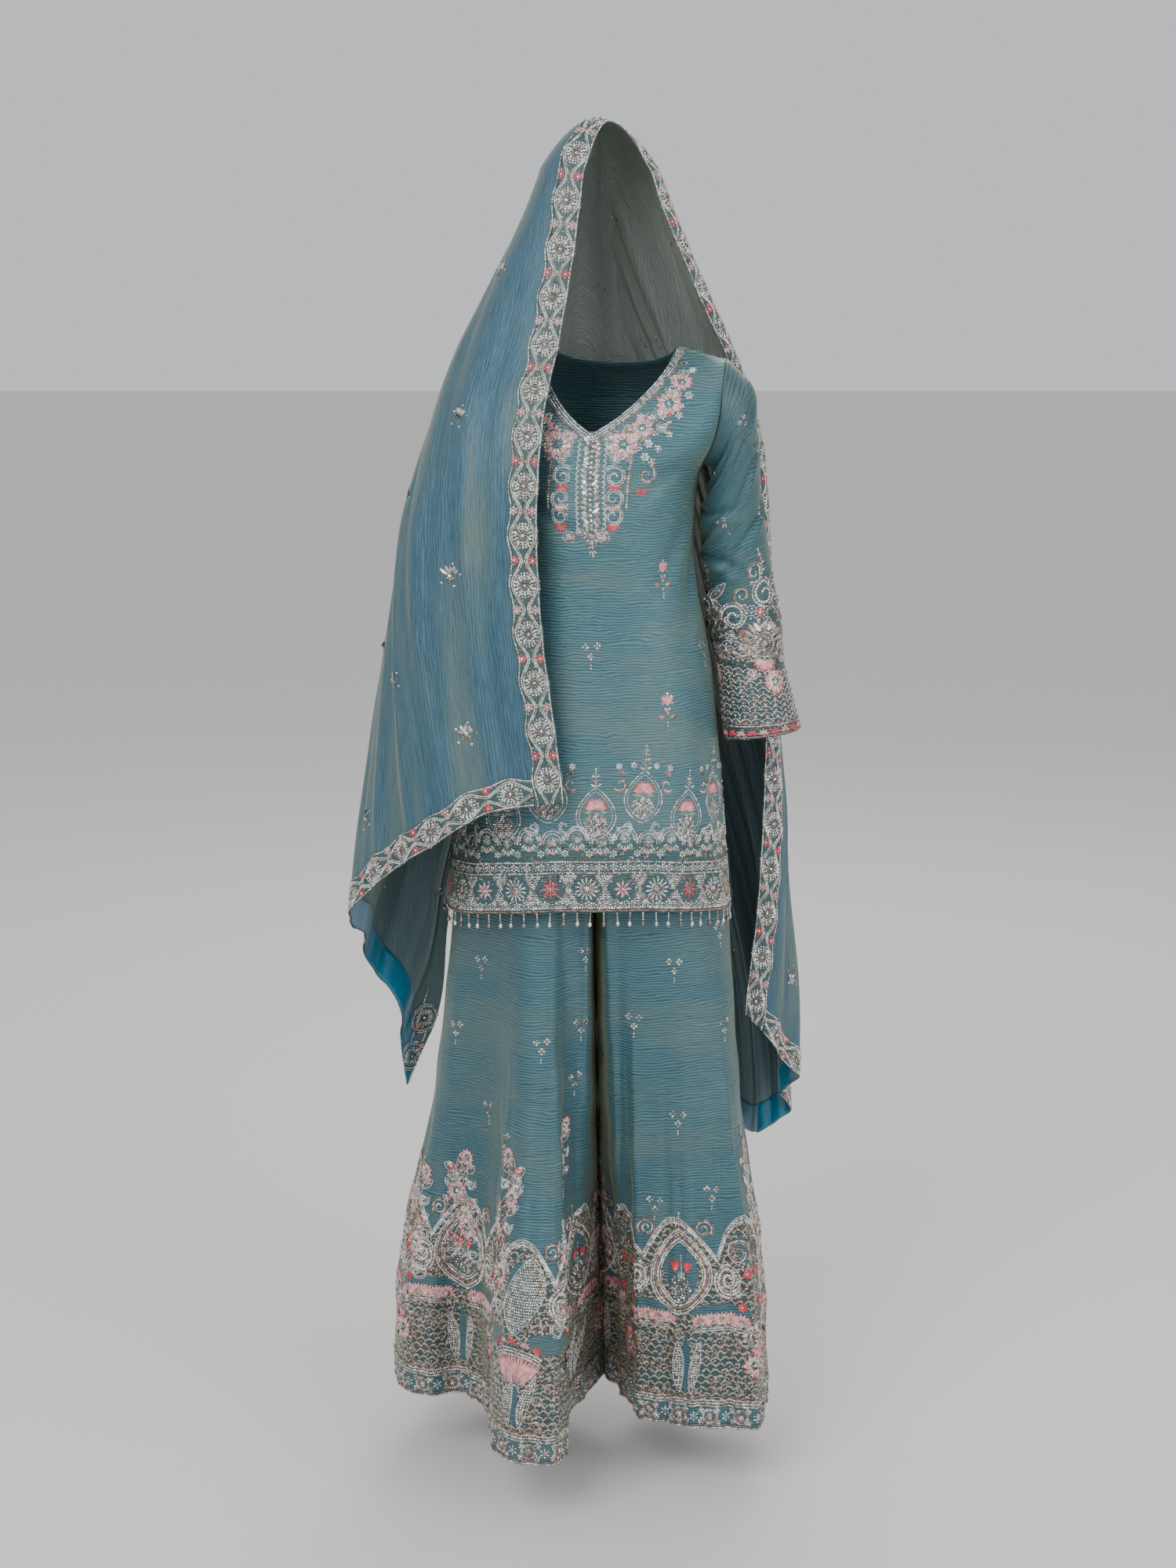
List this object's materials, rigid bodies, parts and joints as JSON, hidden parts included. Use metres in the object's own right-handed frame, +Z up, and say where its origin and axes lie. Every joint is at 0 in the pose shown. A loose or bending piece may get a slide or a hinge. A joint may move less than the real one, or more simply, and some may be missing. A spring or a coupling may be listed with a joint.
{
  "type": "palazzo suit",
  "caption": "Three-piece palazzo suit in its worn form: short kurti tunic, wide palazzo trousers and a dupatta veil over the head, with beaded borders.",
  "frame": {"origin": "the base of the wearer's neck, midway between the shoulders, where the suit is held", "axes": "+Z up, +X to the wearer's left, the front faces -Y"},
  "size_m": [0.6065, 0.4503, 1.691],
  "materials": {
    "kurti_silk": "shot silk",
    "palazzo_silk": "shot silk",
    "veil_tissue": "sheer crinkled tissue",
    "border_work": "sequin and bead work",
    "bead_drops": "gloss",
    "satin_facing": "satin"
  },
  "bodies": {
    "root": {"kurti_front": "kurti_silk", "kurti_back": "kurti_silk", "sleeve_left": "kurti_silk", "sleeve_right": "kurti_silk", "front_bead_drops": "bead_drops", "back_bead_drops": "bead_drops", "palazzo_waistband": "palazzo_silk", "palazzo_right_front_hip": "palazzo_silk", "palazzo_right_front_knee": "palazzo_silk", "palazzo_right_front_hem": "palazzo_silk", "palazzo_right_back_hip": "palazzo_silk", "palazzo_right_back_knee": "palazzo_silk", "palazzo_right_back_hem": "palazzo_silk", "palazzo_left_front_hip": "palazzo_silk", "palazzo_left_front_knee": "palazzo_silk", "palazzo_left_front_hem": "palazzo_silk", "palazzo_left_back_hip": "palazzo_silk", "palazzo_left_back_knee": "palazzo_silk", "palazzo_left_back_hem": "palazzo_silk", "dupatta_right_fall": "veil_tissue", "dupatta_hood": "veil_tissue", "dupatta_left_fall": "veil_tissue", "border_face_right": "border_work", "border_back_right": "border_work", "border_face_hood": "border_work", "border_back_hood": "border_work", "border_face_left": "border_work", "border_back_left": "border_work", "border_end_right": "border_work", "border_end_left": "border_work", "facing_end_right": "satin_facing", "facing_end_left": "satin_facing"}
  },
  "joints": []
}
